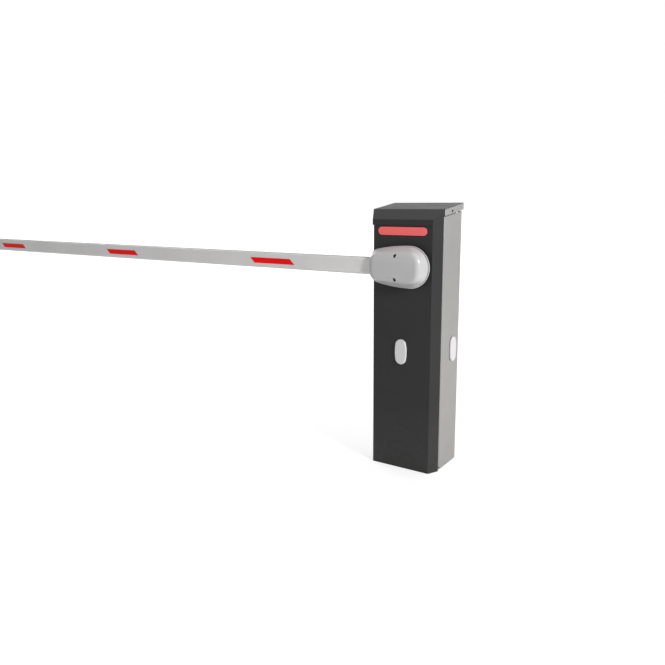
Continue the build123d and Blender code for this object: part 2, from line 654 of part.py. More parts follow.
# Arm holder: a plate behind the arm with a boss on the shaft, flanges above and below the arm, and two lugs
with BuildPart() as arm_holder:
    with BuildSketch(in_front(HOLDER_BACK, 0, PIVOT_HEIGHT)):
        with Locations((PIVOT_X, 0)):
            Circle(HOLDER_HUB_RADIUS)
        with Locations(((HOLDER_LEFT_X + PIVOT_X) / 2, 0)):
            Rectangle(PIVOT_X - HOLDER_LEFT_X, 2 * HOLDER_HALF)
    extrude(amount=HOLDER_PLATE)
    with BuildSketch(in_front(HOLDER_BACK, 0, PIVOT_HEIGHT)):
        for level in (-1, 1):
            with Locations(((HOLDER_LEFT_X + ARM_ROOT_X) / 2, level * (ARM_HEIGHT + HOLDER_FLANGE) / 2)):
                Rectangle(ARM_ROOT_X - HOLDER_LEFT_X, HOLDER_FLANGE)
    extrude(amount=ARM_FACE - HOLDER_BACK)
    with BuildSketch(in_front(HOLDER_BACK, 0, PIVOT_HEIGHT)):
        with Locations((PIVOT_X, 0)):
            Circle(HOLDER_BOSS / 2)
    extrude(amount=HOLDER_BOSS_FRONT - HOLDER_BACK)
    with BuildSketch(in_front(HOLDER_BACK, 0, PIVOT_HEIGHT)):
        with Locations((COVER_SCREW_X, COVER_SCREW_RISE), (COVER_SCREW_X, -COVER_SCREW_RISE)):
            Circle(HOLDER_LUG / 2)
        with Locations((COVER_SCREW_X, 0)):
            Rectangle(HOLDER_LUG, ARM_HEIGHT, mode=Mode.SUBTRACT)
    extrude(amount=HOLDER_LUG_FRONT - HOLDER_BACK)
    with BuildSketch(in_front(HOLDER_BACK, PIVOT_X, PIVOT_HEIGHT)):
        Circle(SHAFT_DIAMETER / 2)
    extrude(amount=HOLDER_BOSS_FRONT - HOLDER_BACK, mode=Mode.SUBTRACT)
save(arm_holder.part, "arm_holder")

# Clamp plate over the arm's front face, between the two lugs' line and the hub's nose
with BuildPart() as arm_clamp_plate:
    with BuildSketch(in_front(ARM_FACE, 0, PIVOT_HEIGHT)):
        with Locations(((CLAMP_LEFT_X + CLAMP_RIGHT_X) / 2, 0)):
            Rectangle(CLAMP_RIGHT_X - CLAMP_LEFT_X, 2 * HOLDER_HALF)
    extrude(amount=CLAMP_PLATE)
save(arm_clamp_plate.part, "arm_clamp_plate")

# Hub housing: the rear shell, with a back wall under the holder, a lip and a window for the arm
with BuildPart() as hub_housing:
    extrude(hub_outline(HUB_BACK, HUB_BACK_INSET), amount=HUB_PARTING - HUB_LIP_THICKNESS - HUB_BACK)
    chamfer(hub_housing.edges().group_by(Axis.Y)[-1], length=HUB_BACK_EDGE)
    extrude(hub_outline(HUB_PARTING - HUB_LIP_THICKNESS, 0), amount=HUB_LIP_THICKNESS)
    extrude(
        hub_outline(HOLDER_BACK, HUB_BACK_INSET + HUB_WALL),
        amount=HUB_PARTING - HUB_LIP_THICKNESS - HOLDER_BACK,
        mode=Mode.SUBTRACT,
    )
    extrude(
        hub_outline(HUB_PARTING - HUB_LIP_THICKNESS, HUB_GROOVE_INSET + HUB_REGISTER),
        amount=HUB_LIP_THICKNESS,
        mode=Mode.SUBTRACT,
    )
    with BuildSketch(in_front(HUB_BACK, PIVOT_X, PIVOT_HEIGHT)):
        Circle(HUB_BACK_HOLE / 2)
    extrude(amount=HOLDER_BACK - HUB_BACK, mode=Mode.SUBTRACT)
    add(arm_window.part, mode=Mode.SUBTRACT)
save(hub_housing.part, "hub_housing")

# Bosses inside the hub cover, one over each lug of the holder, up to the outside of the shell
with BuildPart() as cover_bosses:
    with BuildSketch(in_front(HOLDER_LUG_FRONT, 0, PIVOT_HEIGHT)):
        with Locations((COVER_SCREW_X, COVER_SCREW_RISE), (COVER_SCREW_X, -COVER_SCREW_RISE)):
            Circle(HOLDER_LUG / 2)
    extrude(amount=HUB_FRONT - HOLDER_LUG_FRONT)
    add(hub_cap(HUB_PARTING + HUB_GROOVE_WIDTH, HUB_FRONT, 0), mode=Mode.INTERSECT)

# Hub cover: the front shell, with flanks that lean in to a crowned face and a screw recess in each boss
with BuildPart() as hub_cover:
    extrude(hub_outline(HUB_PARTING, HUB_GROOVE_INSET), amount=HUB_GROOVE_WIDTH)
    add(hub_cap(HUB_PARTING + HUB_GROOVE_WIDTH, HUB_FRONT, 0))
    extrude(
        hub_outline(HUB_PARTING, HUB_GROOVE_INSET + HUB_REGISTER),
        amount=HUB_GROOVE_WIDTH,
        mode=Mode.SUBTRACT,
    )
    add(hub_cap(HUB_PARTING + HUB_GROOVE_WIDTH, HUB_FRONT - HUB_WALL, HUB_WALL), mode=Mode.SUBTRACT)
    add(cover_bosses.part)
    with BuildSketch(in_front(COVER_SCREW_SEAT, 0, PIVOT_HEIGHT)):
        with Locations((COVER_SCREW_X, COVER_SCREW_RISE), (COVER_SCREW_X, -COVER_SCREW_RISE)):
            Circle(COVER_SCREW_RECESS / 2)
    extrude(amount=HUB_FRONT - COVER_SCREW_SEAT, mode=Mode.SUBTRACT)
    add(arm_window.part, mode=Mode.SUBTRACT)
save(hub_cover.part, "hub_cover")

# Arm profile: a closed extrusion with a groove along its top and its bottom
with BuildPart() as arm_profile:
    extrude(arm_section(PROFILE_TIP_X, PROFILE_HEIGHT, 0), amount=ARM_ROOT_X - PROFILE_TIP_X)
    extrude(arm_bore(PROFILE_TIP_X, 0), amount=ARM_ROOT_X - PROFILE_TIP_X, mode=Mode.SUBTRACT)
    for level in (-1, 1):
        extrude(
            groove(PROFILE_TIP_X, level, STRIP_GROOVE / 2, STRIP_GROOVE_DEPTH),
            amount=ARM_ROOT_X - PROFILE_TIP_X,
            mode=Mode.SUBTRACT,
        )
save(arm_profile.part, "arm_profile")

# Soft strips in the arm's grooves
for level, name in ((1, "arm_top_strip"), (-1, "arm_bottom_strip")):
    with BuildPart() as strip:
        with BuildSketch(across(PROFILE_TIP_X, ARM_MIDDLE_Y, PIVOT_HEIGHT)):
            with Locations((0, level * (PROFILE_HEIGHT + STRIP_PROUD) / 2)):
                Rectangle(STRIP_HEAD, STRIP_PROUD)
        extrude(amount=ARM_ROOT_X - PROFILE_TIP_X)
        outer_edges = strip.edges().filter_by(Axis.X).sort_by(Axis.Z)
        fillet(outer_edges[-2:] if level > 0 else outer_edges[:2], radius=STRIP_EDGE_RADIUS)
        foot_half = STRIP_GROOVE / 2 - STRIP_CLEARANCE
        foot_depth = STRIP_GROOVE_DEPTH - STRIP_CLEARANCE
        foot = groove(PROFILE_TIP_X, level, foot_half, foot_depth)
        extrude(foot, amount=ARM_ROOT_X - PROFILE_TIP_X)
    save(strip.part, name)

# Tip cap: closes the arm's end, with a spigot inside the profile
with BuildPart() as arm_tip_cap:
    extrude(arm_section(ARM_TIP_X, ARM_HEIGHT, 0), amount=TIP_CAP_THICKNESS)
    with BuildSketch(across(PROFILE_TIP_X, ARM_MIDDLE_Y, PIVOT_HEIGHT)):
        Rectangle(
            ARM_THICKNESS - 2 * ARM_WALL - 2 * TIP_CAP_FIT,
            PROFILE_HEIGHT - 2 * (STRIP_GROOVE_DEPTH + ARM_WALL) - 2 * TIP_CAP_FIT,
        )
    extrude(amount=TIP_CAP_SPIGOT)
save(arm_tip_cap.part, "arm_tip_cap")

# Reflectors: slanted red strips on both faces of the arm
for number in range(REFLECTOR_COUNT):
    middle = PIVOT_X - REFLECTOR_FIRST - number * REFLECTOR_PITCH
    for name, distance, amount in (
        ("reflector_front", ARM_FACE, REFLECTOR_THICKNESS),
        ("reflector_back", ARM_BACK, -REFLECTOR_THICKNESS),
    ):
        with BuildPart() as reflector:
            with BuildSketch(in_front(distance, middle, PIVOT_HEIGHT - REFLECTOR_DROP)):
                with BuildLine():
                    Polyline(
                        (-(REFLECTOR_LENGTH + REFLECTOR_SLANT) / 2, REFLECTOR_HEIGHT / 2),
                        ((REFLECTOR_LENGTH - REFLECTOR_SLANT) / 2, REFLECTOR_HEIGHT / 2),
                        ((REFLECTOR_LENGTH + REFLECTOR_SLANT) / 2, -REFLECTOR_HEIGHT / 2),
                        (-(REFLECTOR_LENGTH - REFLECTOR_SLANT) / 2, -REFLECTOR_HEIGHT / 2),
                        close=True,
                    )
                make_face()
            extrude(amount=amount)
        save(reflector.part, f"{name}_{number + 1}")
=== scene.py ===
import json
import math

import bmesh
import bpy
from mathutils import Matrix, Vector


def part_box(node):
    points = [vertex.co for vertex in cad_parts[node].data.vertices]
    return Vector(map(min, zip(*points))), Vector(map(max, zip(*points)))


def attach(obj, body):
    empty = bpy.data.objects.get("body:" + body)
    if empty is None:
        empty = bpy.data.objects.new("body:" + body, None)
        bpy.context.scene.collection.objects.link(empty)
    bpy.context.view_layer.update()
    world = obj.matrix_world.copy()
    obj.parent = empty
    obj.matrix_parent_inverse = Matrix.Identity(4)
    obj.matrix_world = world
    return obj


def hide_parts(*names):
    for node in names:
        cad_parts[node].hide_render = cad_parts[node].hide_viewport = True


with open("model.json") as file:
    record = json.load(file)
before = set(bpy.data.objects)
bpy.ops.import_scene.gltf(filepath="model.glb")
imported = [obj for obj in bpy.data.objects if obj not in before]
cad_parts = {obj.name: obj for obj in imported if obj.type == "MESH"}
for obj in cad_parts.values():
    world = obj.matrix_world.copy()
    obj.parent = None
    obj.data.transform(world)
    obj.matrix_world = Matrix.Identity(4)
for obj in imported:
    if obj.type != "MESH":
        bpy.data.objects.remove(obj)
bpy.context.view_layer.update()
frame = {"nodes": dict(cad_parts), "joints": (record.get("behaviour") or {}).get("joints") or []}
scene = bpy.context.scene
scene.view_settings.view_transform = "Standard"

# Camera: stands in front of the cabinet and to its right, a little above the lid, and looks down at it.
# The boom runs away to the left. The place and angles come from the cabinet's edges in the photograph.
CAMERA_PLACE = Vector((1.2219, -2.4046, 1.1125))
CAMERA_YAW = 0.5952
CAMERA_PITCH = 0.2036
CAMERA_ROLL = -0.0093
FOCAL_LENGTH_PIXELS = 658.8
FRAME_PIXELS = 665.0
SENSOR_WIDTH = 36.0
SIGHT_REACH = 60.0
camera_data = bpy.data.cameras.new("photo_camera")
camera_data.sensor_width = SENSOR_WIDTH
camera_data.lens = SENSOR_WIDTH * FOCAL_LENGTH_PIXELS / FRAME_PIXELS
camera_data.clip_end = SIGHT_REACH
ahead = Vector((
    -math.sin(CAMERA_YAW) * math.cos(CAMERA_PITCH),
    math.cos(CAMERA_YAW) * math.cos(CAMERA_PITCH),
    -math.sin(CAMERA_PITCH),
))
level = Vector((math.cos(CAMERA_YAW), math.sin(CAMERA_YAW), 0))
above = level.cross(ahead)
camera_right = level * math.cos(CAMERA_ROLL) + above * math.sin(CAMERA_ROLL)
camera_up = above * math.cos(CAMERA_ROLL) - level * math.sin(CAMERA_ROLL)
camera = bpy.data.objects.new("photo_camera", camera_data)
camera.matrix_world = Matrix.Translation(CAMERA_PLACE) @ Matrix(
    (camera_right, camera_up, -ahead)
).transposed().to_4x4()
scene.collection.objects.link(camera)
scene.camera = camera


# Studio: a white surround that lights softly, and that the camera and shiny surfaces see as plain white.
# A small bright lamp on the right lights the door and the hub's end. Broad lamps stand in front, overhead,
# behind and far out on the left.
def feed(tree, node, inputs):
    for socket, value in inputs.items():
        if isinstance(value, bpy.types.NodeSocket):
            tree.links.new(value, node.inputs[socket])
        else:
            node.inputs[socket].default_value = value


def add_node(tree, kind, inputs, **settings):
    node = tree.nodes.new("ShaderNode" + kind)
    for setting, choice in settings.items():
        setattr(node, setting, choice)
    feed(tree, node, inputs)
    return node.outputs


SURROUND_LIGHT = 0.27
LAMPS = (
    ("right_lamp", (3.5, -1.4, 2.1), (0.0, 0.0, 0.7), 0.7, 138.0),
    ("front_lamp", (-1.2, -4.2, 2.4), (-0.4, 0.0, 0.8), 3.0, 16.0),
    ("top_lamp", (0.3, 0.4, 4.0), (0.0, 0.0, 0.8), 2.6, 33.0),
    ("back_lamp", (0.1, 3.6, 2.8), (0.0, 0.0, 0.6), 2.0, 52.0),
    ("left_lamp", (-5.4, 2.4, 3.2), (0.0, 0.0, 0.6), 3.0, 135.0),
)
world = bpy.data.worlds.new("white_surround")
world.use_nodes = True
scene.world = world
tree = world.node_tree
ray = add_node(tree, "LightPath", {})
seen = add_node(tree, "Math", {0: ray["Is Camera Ray"], 1: ray["Is Glossy Ray"]}, operation="MAXIMUM")
seen = add_node(tree, "Math", {0: seen[0], 1: ray["Is Transmission Ray"]}, operation="MAXIMUM")
strength = add_node(tree, "MapRange", {"Value": seen[0], "To Min": SURROUND_LIGHT, "To Max": 1.0})
feed(tree, tree.nodes["Background"], {"Color": (1, 1, 1, 1), "Strength": strength["Result"]})
for lamp_name, stand, target, size, power in LAMPS:
    lamp_data = bpy.data.lights.new(lamp_name, "AREA")
    lamp_data.shape = "DISK"
    lamp_data.size = size
    lamp_data.energy = power
    lamp = bpy.data.objects.new(lamp_name, lamp_data)
    lamp.location = stand
    lamp.rotation_euler = (Vector(target) - Vector(stand)).to_track_quat("-Z", "Y").to_euler()
    scene.collection.objects.link(lamp)

# Floor: a plain white studio floor that keeps a soft shadow near the cabinet and fades into the
# white surround further out. It is no piece of the barrier.
FLOOR_REACH = 40.0
FLOOR_WHITE = (0.9, 0.9, 0.9)
FLOOR_ROUGHNESS = 0.9
FLOOR_GLOW = 1.25
SHADOW_GLOW_SHARE = 0.5
SHADOW_REACH = (0.5, 2.6)
floor_shape = bmesh.new()
bmesh.ops.create_grid(floor_shape, x_segments=1, y_segments=1, size=FLOOR_REACH)
floor_mesh = bpy.data.meshes.new("studio_floor")
floor_shape.to_mesh(floor_mesh)
floor_shape.free()
floor = bpy.data.objects.new("studio_floor", floor_mesh)
scene.collection.objects.link(floor)
floor_paint = bpy.data.materials.new("studio_floor")
floor_paint.use_nodes = True
tree = floor_paint.node_tree
white = tree.nodes["Principled BSDF"]
feed(tree, white, {"Base Color": (*FLOOR_WHITE, 1), "Roughness": FLOOR_ROUGHNESS})
spot = add_node(tree, "TexCoord", {})["Object"]
distance = add_node(tree, "VectorMath", {0: spot}, operation="LENGTH")["Value"]
fade = add_node(
    tree,
    "MapRange",
    {
        "Value": distance,
        "From Min": SHADOW_REACH[0],
        "From Max": SHADOW_REACH[1],
        "To Min": SHADOW_GLOW_SHARE,
        "To Max": 1.0,
    },
    interpolation_type="SMOOTHSTEP",
)["Result"]
seen = add_node(tree, "LightPath", {})["Is Camera Ray"]
glow_share = add_node(tree, "Math", {0: seen, 1: fade}, operation="MULTIPLY")[0]
glow = add_node(tree, "Emission", {"Strength": FLOOR_GLOW})[0]
mixed = add_node(tree, "MixShader", {"Fac": glow_share, 1: white.outputs[0], 2: glow})[0]
feed(tree, tree.nodes["Material Output"], {"Surface": mixed})
floor.data.materials.append(floor_paint)


# Base plate: an 8 mm steel plate inside the foot of the cabinet's walls, with an ear for the lower
# hinge pin. It is hot-dip galvanised, and zinc sets into flat crystals of slightly different greys.
def shade(tree, inputs):
    feed(tree, tree.nodes["Principled BSDF"], inputs)


def new_finish(name, colour, roughness, metallic=0.0):
    finish = bpy.data.materials.new(name)
    finish.use_nodes = True
    tree = finish.node_tree
    shade(tree, {"Base Color": (*colour, 1), "Roughness": roughness, "Metallic": metallic})
    return finish, tree, add_node(tree, "TexCoord", {})["Object"]


def cloud(tree, place, scale, detail):
    return add_node(tree, "TexNoise", {"Vector": place, "Scale": scale, "Detail": detail})["Fac"]


def blend(tree, share, first, second):
    inputs = {"Factor": share, "A": first, "B": second}
    return add_node(tree, "Mix", inputs, data_type="RGBA")["Result"]


def mottle(tree, place, dark, light, scale):
    colour = blend(tree, cloud(tree, place, scale, MOTTLE_DETAIL), (*dark, 1), (*light, 1))
    shade(tree, {"Base Color": colour})
    return colour


def vary_roughness(tree, place, smooth, rough, scale):
    inputs = {
        "Value": cloud(tree, place, scale, PATCH_DETAIL),
        "From Min": PATCH_RANGE[0],
        "From Max": PATCH_RANGE[1],
        "To Min": smooth,
        "To Max": rough,
    }
    shade(tree, {"Roughness": add_node(tree, "MapRange", inputs)["Result"]})


def raise_surface(tree, height, strength, distance):
    bump = add_node(tree, "Bump", {"Height": height, "Strength": strength, "Distance": distance})
    shade(tree, {"Normal": bump["Normal"]})


def raise_grain(tree, place, scale, height, strength):
    raise_surface(tree, cloud(tree, place, scale, GRAIN_DETAIL), strength, height)


def wear_finish(node, finish):
    piece = frame["nodes"][node]
    if not piece.material_slots:
        piece.data.materials.append(finish)
    for holder in piece.material_slots:
        holder.material = finish


MOTTLE_DETAIL = 3.0
PATCH_DETAIL = 5.0
PATCH_RANGE = (0.35, 0.65)
GRAIN_DETAIL = 2.0
ZINC_DARK = (0.36, 0.37, 0.38)
ZINC_LIGHT = (0.56, 0.57, 0.58)
CRYSTALS_PER_METRE = 90.0
zinc, tree, place = new_finish("galvanised_steel", ZINC_LIGHT, roughness=0.42, metallic=0.9)
crystals = add_node(tree, "TexVoronoi", {"Vector": place, "Scale": CRYSTALS_PER_METRE})["Color"]
crystal_grey = add_node(tree, "SeparateColor", {"Color": crystals})["Red"]
shade(tree, {"Base Color": blend(tree, crystal_grey, (*ZINC_DARK, 1), (*ZINC_LIGHT, 1))})
vary_roughness(tree, place, smooth=0.34, rough=0.55, scale=40.0)
raise_grain(tree, place, scale=260.0, height=0.0002, strength=0.5)
wear_finish("base_plate", zinc)


# Anchors: four M12 studs that stand up out of the foundation, each with a washer and a hexagon nut.
# They are zinc-coated steel, and the nut's corners are chamfered at both faces.
def start_loop(shape, spots):
    corners = [shape.verts.new(spot) for spot in spots]
    for pair in zip(corners, corners[1:] + corners[:1]):
        shape.edges.new(pair)
    return corners


def loop_edges(shape, corners):
    return [shape.edges.get(pair) for pair in zip(corners, corners[1:] + corners[:1])]


def grow_loop(shape, corners, spots):
    grown = bmesh.ops.extrude_edge_only(shape, edges=loop_edges(shape, corners))["geom"]
    fresh = {part for part in grown if isinstance(part, bmesh.types.BMVert)}
    raised = []
    for corner, spot in zip(corners, spots):
        ends = {edge.other_vert(corner) for edge in corner.link_edges}
        opposite = (ends & fresh).pop()
        opposite.co = spot
        raised.append(opposite)
    return raised


def ring_spots(height, radius, flats):
    spots = []
    for step in range(RING_PARTS):
        turn = 2 * math.pi * step / RING_PARTS
        reach = radius
        if flats:
            half = math.pi / flats
            reach *= math.cos(half) / math.cos(turn % (2 * half) - half)
        spots.append(Vector((reach * math.cos(turn), reach * math.sin(turn), height)))
    return spots


def ring_stack(rings):
    shape = bmesh.new()
    corners = start_loop(shape, ring_spots(*rings[0]))
    shape.faces.new(corners)
    for ring in rings[1:]:
        corners = grow_loop(shape, corners, ring_spots(*ring))
    shape.faces.new(corners)
    return shape


def stand_on(shape, point, axis):
    turn = Vector((0, 0, 1)).rotation_difference(Vector(axis)).to_matrix().to_4x4()
    bmesh.ops.transform(shape, matrix=Matrix.Translation(point) @ turn, verts=shape.verts)


def join_shape(target, part):
    holder = bpy.data.meshes.new("part")
    part.to_mesh(holder)
    part.free()
    target.from_mesh(holder)
    bpy.data.meshes.remove(holder)


def nut_on_stud(target, point, axis, washer, nut, stud):
    washer_radius, washer_top = washer
    nut_radius, nut_face_radius, nut_height, nut_chamfer = nut
    stud_radius, stud_tip_radius, stud_foot, stud_top, stud_chamfer = stud
    nut_top = washer_top + nut_height
    for rings in (
        ((0, washer_radius, ROUND), (washer_top, washer_radius, ROUND)),
        (
            (washer_top, nut_face_radius, ROUND),
            (washer_top + nut_chamfer, nut_radius, HEXAGON),
            (nut_top - nut_chamfer, nut_radius, HEXAGON),
            (nut_top, nut_face_radius, ROUND),
        ),
        (
            (stud_foot, stud_radius, ROUND),
            (stud_top - stud_chamfer, stud_radius, ROUND),
            (stud_top, stud_tip_radius, ROUND),
        ),
    ):
        part = ring_stack(rings)
        stand_on(part, point, axis)
        join_shape(target, part)


def make_piece(name, shape, body, finish):
    bmesh.ops.recalc_face_normals(shape, faces=shape.faces)
    mesh = bpy.data.meshes.new(name)
    shape.to_mesh(mesh)
    shape.free()
    mesh.shade_smooth()
    mesh.set_sharp_from_angle(angle=SHARP_ANGLE)
    piece = bpy.data.objects.new(name, mesh)
    scene.collection.objects.link(piece)
    mesh.materials.append(finish)
    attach(piece, body)
    return piece


ROUND = 0
HEXAGON = 6
RING_PARTS = 36
SHARP_ANGLE = math.radians(35)
ANCHOR_SPACING = (0.190, 0.140)
WASHER_RADIUS = 0.012
WASHER_HEIGHT = 0.0025
NUT_RADIUS = 0.0104
NUT_HEIGHT = 0.010
NUT_CHAMFER = 0.0008
NUT_FACE_SHARE = 0.87
STUD_RADIUS = 0.006
STUD_CHAMFER = 0.001
STUD_SUNK = 0.004
STUD_TOP = 0.034
plate_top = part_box("base_plate")[1].z
anchors = bmesh.new()
for side_x in (-1, 1):
    for side_y in (-1, 1):
        nut_on_stud(
            anchors,
            Vector((side_x * ANCHOR_SPACING[0] / 2, side_y * ANCHOR_SPACING[1] / 2, plate_top)),
            (0, 0, 1),
            washer=(WASHER_RADIUS, WASHER_HEIGHT),
            nut=(NUT_RADIUS, NUT_RADIUS * NUT_FACE_SHARE, NUT_HEIGHT, NUT_CHAMFER),
            stud=(STUD_RADIUS, STUD_RADIUS - STUD_CHAMFER, -STUD_SUNK, STUD_TOP - plate_top, STUD_CHAMFER),
        )
make_piece("anchor_nuts", anchors, "cabinet", zinc)


# Front panel: one dark sheet, laser cut and folded, with a fine-textured powder coat.
# The coat is rubbed a little paler along cut edges and folds, and the foot gathers dust.
def times(tree, first, second):
    return add_node(tree, "Math", {0: first, 1: second}, operation="MULTIPLY")[0]


def rub_edges(tree, place, paint, rubbed):
    edge = add_node(tree, "Attribute", {}, attribute_name="worn_edge")["Fac"]
    share = times(tree, edge, cloud(tree, place, scale=24.0, detail=4.0))
    return blend(tree, share, paint, (*rubbed, 1))


def settle_dust(tree, place, paint, dust):
    height = add_node(tree, "SeparateXYZ", {"Vector": place})["Z"]
    inputs = {"Value": height, "From Max": DUST_HEIGHT, "To Min": 1.0, "To Max": 0.0}
    low_down = add_node(tree, "MapRange", inputs)["Result"]
    specks = times(tree, low_down, cloud(tree, place, scale=38.0, detail=6.0))
    return blend(tree, times(tree, specks, DUST_SHARE), paint, (*dust, 1))


def toned(colour, share):
    return tuple(min(part * share, 1.0) for part in colour)


def powder_coat(name, colour, dust, roughness, gloss, grain_height=0.00012):
    finish, tree, place = new_finish(name, colour, roughness)
    rubbed = tuple(min(part * RUBBED_SHARE + RUBBED_LIFT, RUBBED_PALEST) for part in colour)
    paint = mottle(tree, place, toned(colour, 0.9), toned(colour, 1.1), scale=5.0)
    paint = rub_edges(tree, place, paint, rubbed)
    paint = settle_dust(tree, place, paint, dust)
    shade(tree, {"Base Color": paint, "Specular IOR Level": gloss})
    vary_roughness(tree, place, roughness - 0.03, roughness + 0.03, scale=14.0)
    raise_grain(tree, place, scale=1100.0, height=grain_height, strength=0.6)
    return finish


def round_edges(shape, edges, width, steps, clamp=True):
    return bmesh.ops.bevel(
        shape,
        geom=edges,
        offset=width,
        segments=steps,
        profile=0.5,
        affect="EDGES",
        clamp_overlap=clamp,
        material=-1,
    )["faces"]


def eased_copy(node, name, body, finish, width, steps=2):
    shape = bmesh.new()
    shape.from_mesh(frame["nodes"][node].data)
    bmesh.ops.remove_doubles(shape, verts=shape.verts, dist=WELD_DISTANCE)
    bmesh.ops.dissolve_limit(shape, angle_limit=FLAT_ANGLE, verts=shape.verts, edges=shape.edges)
    corners = [
        edge for edge in shape.edges
        if len(edge.link_faces) == 2 and edge.calc_face_angle() > EDGE_ANGLE
    ]
    worn = shape.faces.layers.float.new("worn_edge")
    for strip in round_edges(shape, corners, width, steps):
        strip[worn] = 1.0
    piece = make_piece(name, shape, body, finish)
    evened = piece.modifiers.new("even_normals", "WEIGHTED_NORMAL")
    evened.keep_sharp = True
    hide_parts(node)


WELD_DISTANCE = 0.00002
FLAT_ANGLE = math.radians(0.6)
EDGE_ANGLE = math.radians(20)
RUBBED_SHARE = 1.5
RUBBED_LIFT = 0.01
RUBBED_PALEST = 0.9
DARK_GREY = (0.026, 0.0255, 0.026)
DUST = (0.22, 0.20, 0.18)
DUST_HEIGHT = 0.32
DUST_SHARE = 0.11
DARK_SHEET_EDGE = 0.0007
dark_coat = powder_coat("dark_powder_coat", DARK_GREY, DUST, roughness=0.46, gloss=0.18)
eased_copy("front_panel", "front_panel_sheet", "cabinet", dark_coat, DARK_SHEET_EDGE)

# Lid: a dark folded roof sheet over light cheeks, coated like the panels under it.
# Its front slopes down to a skirt that laps over the front panel.
LIGHT_GREY = (0.275, 0.27, 0.266)
LIGHT_SHEET_EDGE = 0.0006
light_coat = powder_coat("light_powder_coat", LIGHT_GREY, DUST, roughness=0.45, gloss=0.4)
eased_copy("lid_top", "lid_top_sheet", "cabinet", dark_coat, DARK_SHEET_EDGE)
eased_copy("lid_cheeks", "lid_cheek_sheets", "cabinet", light_coat, LIGHT_SHEET_EDGE)

# Side, back and door: light sheets, folded from steel. The door's front edge is rolled round its hinge
# pins, so it opens without touching the front panel's facet.
CHANNEL_EDGE = 0.0005
eased_copy("left_panel", "left_panel_sheet", "cabinet", light_coat, LIGHT_SHEET_EDGE)
eased_copy("back_panel", "back_panel_sheet", "cabinet", light_coat, LIGHT_SHEET_EDGE)
eased_copy("door_frame", "door_frame_channel", "cabinet", light_coat, CHANNEL_EDGE)
eased_copy("side_door", "side_door_sheet", "door", light_coat, LIGHT_SHEET_EDGE)


# Lid screws: a black pan-head screw on a stainless washer in each cheek. They hold the lid to the frame
# and come out when the whole lid is lifted off.
def turned_metal(name, colour, roughness):
    finish, tree, place = new_finish(name, colour, roughness, metallic=1.0)
    mottle(tree, place, toned(colour, 0.85), toned(colour, 1.15), scale=300.0)
    vary_roughness(tree, place, roughness - 0.05, roughness + 0.1, scale=500.0)
    raise_grain(tree, place, scale=2400.0, height=0.00004, strength=0.4)
    return finish


def socket_screw(target, point, axis, radius, height, socket, base=0.0):
    head = ring_stack((
        (base, radius, ROUND),
        (base + height * HEAD_STRAIGHT, radius, ROUND),
        (base + height * HEAD_SHOULDER, radius * HEAD_SHOULDER_RADIUS, ROUND),
        (base + height, radius * HEAD_TOP_RADIUS, ROUND),
        (base + height, socket, HEXAGON),
        (base + height * SOCKET_FLOOR, socket, HEXAGON),
    ))
    stand_on(head, point, axis)
    join_shape(target, head)


HEAD_STRAIGHT = 0.45
HEAD_SHOULDER = 0.8
HEAD_SHOULDER_RADIUS = 0.9
HEAD_TOP_RADIUS = 0.68
SOCKET_FLOOR = 0.35
STAINLESS_GREY = (0.62, 0.61, 0.60)
BLACKED_STEEL = (0.02, 0.02, 0.021)
LID_SCREW_DEPTH = 0.0027
LID_SCREW_HEIGHT = 1.054
LID_WASHER_RADIUS = 0.0085
LID_WASHER_HEIGHT = 0.0012
LID_WASHER_STRAIGHT = 0.0009
LID_WASHER_TOP_RADIUS = 0.0081
stainless = turned_metal("stainless_screw", STAINLESS_GREY, roughness=0.28)
black_screw = turned_metal("black_screw", BLACKED_STEEL, roughness=0.45)
lid_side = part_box("lid_cheeks")[1].x
lid_washers = bmesh.new()
lid_screws = bmesh.new()
for side in (-1, 1):
    spot = Vector((side * lid_side, LID_SCREW_DEPTH, LID_SCREW_HEIGHT))
    washer = ring_stack((
        (0, LID_WASHER_RADIUS, ROUND),
        (LID_WASHER_STRAIGHT, LID_WASHER_RADIUS, ROUND),
        (LID_WASHER_HEIGHT, LID_WASHER_TOP_RADIUS, ROUND),
    ))
    stand_on(washer, spot, (side, 0, 0))
    join_shape(lid_washers, washer)
    socket_screw(
        lid_screws,
        spot,
        (side, 0, 0),
        radius=0.0048,
        height=0.0017,
        socket=0.002,
        base=LID_WASHER_HEIGHT,
    )
make_piece("lid_washers", lid_washers, "cabinet", stainless)
make_piece("lid_screws", lid_screws, "cabinet", black_screw)

# Hinges: two turned steel pins, one in the base plate's ear and one in a zinc-plated angle inside the
# lid. Two small stainless screws hold the angle to the door frame.
PIN_GREY = (0.55, 0.55, 0.56)
BRACKET_SCREW_SPACING = 0.012
BRACKET_SCREW_DROP = 0.007
BRACKET_THICKNESS = 0.004
steel = turned_metal("bright_steel", PIN_GREY, roughness=0.3)
wear_finish("hinge_pin_lower", steel)
wear_finish("hinge_pin_upper", steel)
wear_finish("hinge_bracket_upper", zinc)
bracket_low, bracket_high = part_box("hinge_bracket_upper")
bracket_middle = (bracket_low.y + bracket_high.y) / 2
bracket_screws = bmesh.new()
for side in (-1, 1):
    spot = Vector((
        bracket_low.x + BRACKET_THICKNESS,
        bracket_middle + side * BRACKET_SCREW_SPACING / 2,
        bracket_high.z - BRACKET_SCREW_DROP,
    ))
    socket_screw(bracket_screws, spot, (1, 0, 0), radius=0.003, height=0.002, socket=0.0013)
make_piece("hinge_bracket_screws", bracket_screws, "cabinet", stainless)


